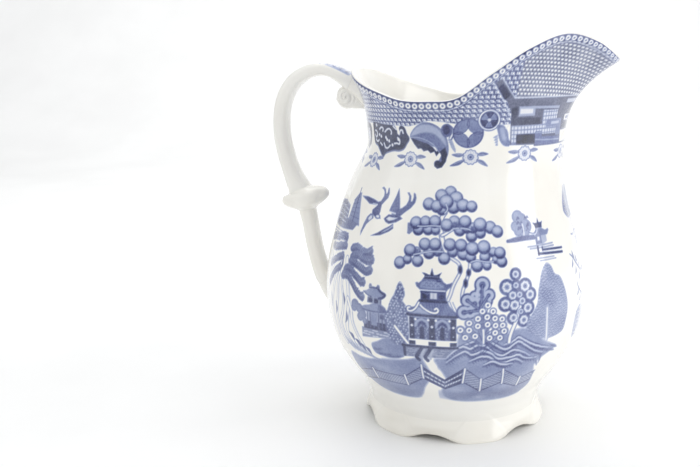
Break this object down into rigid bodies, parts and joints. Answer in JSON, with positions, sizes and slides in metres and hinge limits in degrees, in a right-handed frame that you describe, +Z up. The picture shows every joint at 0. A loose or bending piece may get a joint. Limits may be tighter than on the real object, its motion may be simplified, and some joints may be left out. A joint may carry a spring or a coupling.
{
  "type": "cream jug",
  "caption": "Porcelain cream jug with a round belly, raised beak spout, scalloped foot and loop handle, printed in blue with a garden landscape.",
  "frame": {"origin": "middle of the jug's overall footprint, on the table it stands on", "axes": "+Z up, +X towards the spout, handle towards -X, +Y across; symmetric about the plane y = 0"},
  "size_m": [0.1374, 0.102, 0.1503],
  "materials": {
    "printed_porcelain": "gloss glaze over cobalt blue transfer print",
    "ivory_glaze": "gloss ivory glaze",
    "printed_handle": "gloss ivory glaze with a small blue sprig"
  },
  "bodies": {
    "root": {"body_shell": "printed_porcelain", "foot_ring": "ivory_glaze", "handle_loop": "printed_handle", "handle_scroll": "ivory_glaze", "handle_knop": "ivory_glaze", "handle_stem": "ivory_glaze", "upper_slip_seam": "ivory_glaze", "lower_slip_seam": "ivory_glaze"}
  },
  "joints": []
}
